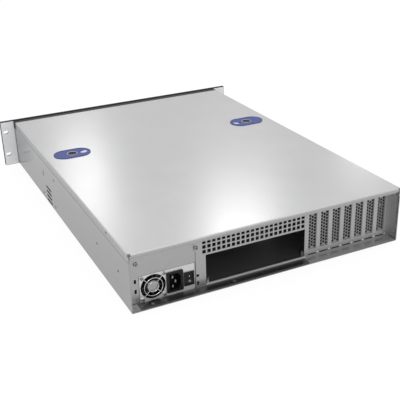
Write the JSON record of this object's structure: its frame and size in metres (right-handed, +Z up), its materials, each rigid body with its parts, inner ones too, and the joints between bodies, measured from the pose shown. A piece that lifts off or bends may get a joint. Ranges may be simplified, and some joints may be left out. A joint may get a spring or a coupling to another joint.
{
  "type": "rackmount server case",
  "caption": "Empty two-unit rackmount server case with rack ears, sliding latched cover, recessed rear panel with grille and slot covers, and a slim power supply.",
  "frame": {"origin": "middle of the bottom of the box around the whole case", "axes": "+Z up, -Y towards the front plate, +Y towards the rear panel; seen from behind, +X is on the left, where the power supply is"},
  "size_m": [0.4826, 0.6172, 0.0881],
  "materials": {
    "steel": "zinc-coated sheet steel",
    "cover_steel": "zinc-coated sheet steel, brushed sheen",
    "cover_plate_steel": "zinc-coated sheet steel",
    "black_paint": "fine-textured black powder coat",
    "supply_zinc": "plain zinc-coated steel",
    "guard_wire": "bright plated wire",
    "screws": "bright plated steel",
    "standoffs": "plain brass",
    "blue_plastic": "moulded plastic with a soft sheen",
    "button_plastic": "dark moulded plastic",
    "fan_plastic": "black moulded plastic",
    "socket_plastic": "black moulded plastic",
    "board": "green coated circuit board",
    "lamps": "clear tinted plastic"
  },
  "bodies": {
    "case": {"chassis_tray": "steel", "rear_panel": "steel", "slot_panel": "steel", "psu_adapter_plate": "steel", "fan_wall": "steel", "latch_strike_left": "steel", "latch_strike_right": "steel", "drive_cage": "steel", "psu_stop": "steel", "slot_cover_1": "cover_plate_steel", "slot_cover_2": "cover_plate_steel", "slot_cover_3": "cover_plate_steel", "slot_cover_4": "cover_plate_steel", "slot_cover_5": "cover_plate_steel", "slot_cover_6": "cover_plate_steel", "slot_cover_7": "cover_plate_steel", "front_plate": "black_paint", "front_frame": "black_paint", "psu_case": "supply_zinc", "psu_fan_guard": "guard_wire", "adapter_screws": "screws", "slot_cover_screws": "screws", "ledge_screws": "screws", "guard_screws": "screws", "inlet_pins": "screws", "usb_ports": "screws", "board_standoffs": "standoffs", "psu_fan_frame": "fan_plastic", "case_fan_frame_1": "fan_plastic", "case_fan_frame_2": "fan_plastic", "case_fan_frame_3": "fan_plastic", "mains_inlet": "socket_plastic", "switch_bezel": "socket_plastic", "control_board": "board", "status_lamps": "lamps"},
    "cover": {"top_cover": "cover_steel", "latch_bezel_left": "blue_plastic", "latch_bezel_right": "blue_plastic"},
    "left_latch": {"latch_button_left": "button_plastic"},
    "right_latch": {"latch_button_right": "button_plastic"},
    "supply_fan": {"psu_fan_rotor": "fan_plastic"},
    "fan_1": {"case_fan_rotor_1": "fan_plastic"},
    "fan_2": {"case_fan_rotor_2": "fan_plastic"},
    "fan_3": {"case_fan_rotor_3": "fan_plastic"},
    "mains_switch": {"switch_rocker": "socket_plastic"},
    "power_key": {"power_button": "button_plastic"},
    "reset_key": {"reset_button": "button_plastic"}
  },
  "joints": [
    {"name": "cover_slide", "type": "slide", "parent": "case", "child": "cover", "axis": [0, 1, 0], "range_m": [0, 0.02]},
    {"name": "latch_press_left", "type": "slide", "parent": "cover", "child": "left_latch", "axis": [0, 0, -1], "range_m": [0, 0.0022], "stiffness_N_per_m": 800, "springref_m": -0.003},
    {"name": "latch_press_right", "type": "slide", "parent": "cover", "child": "right_latch", "axis": [0, 0, -1], "range_m": [0, 0.0022], "stiffness_N_per_m": 800, "springref_m": -0.003},
    {"name": "psu_fan_spin", "type": "hinge", "parent": "case", "child": "supply_fan", "pos_m": [0.1761, 0.288, 0.02145], "axis": [0, 1, 0], "continuous": true},
    {"name": "case_fan_1_spin", "type": "hinge", "parent": "case", "child": "fan_1", "pos_m": [-0.095, -0.1134, 0.0416], "axis": [0, 1, 0], "continuous": true},
    {"name": "case_fan_2_spin", "type": "hinge", "parent": "case", "child": "fan_2", "pos_m": [0, -0.1134, 0.0416], "axis": [0, 1, 0], "continuous": true},
    {"name": "case_fan_3_spin", "type": "hinge", "parent": "case", "child": "fan_3", "pos_m": [0.095, -0.1134, 0.0416], "axis": [0, 1, 0], "continuous": true},
    {"name": "rocker_tilt", "type": "hinge", "parent": "case", "child": "mains_switch", "pos_m": [0.124, 0.289, 0.0192], "axis": [1, 0, 0], "range_deg": [-14, 0]},
    {"name": "power_press", "type": "slide", "parent": "case", "child": "power_key", "axis": [0, 1, 0], "range_m": [0, 0.0012], "stiffness_N_per_m": 1000, "springref_m": -0.001},
    {"name": "reset_press", "type": "slide", "parent": "case", "child": "reset_key", "axis": [0, 1, 0], "range_m": [0, 0.0012], "stiffness_N_per_m": 1000, "springref_m": -0.001}
  ]
}
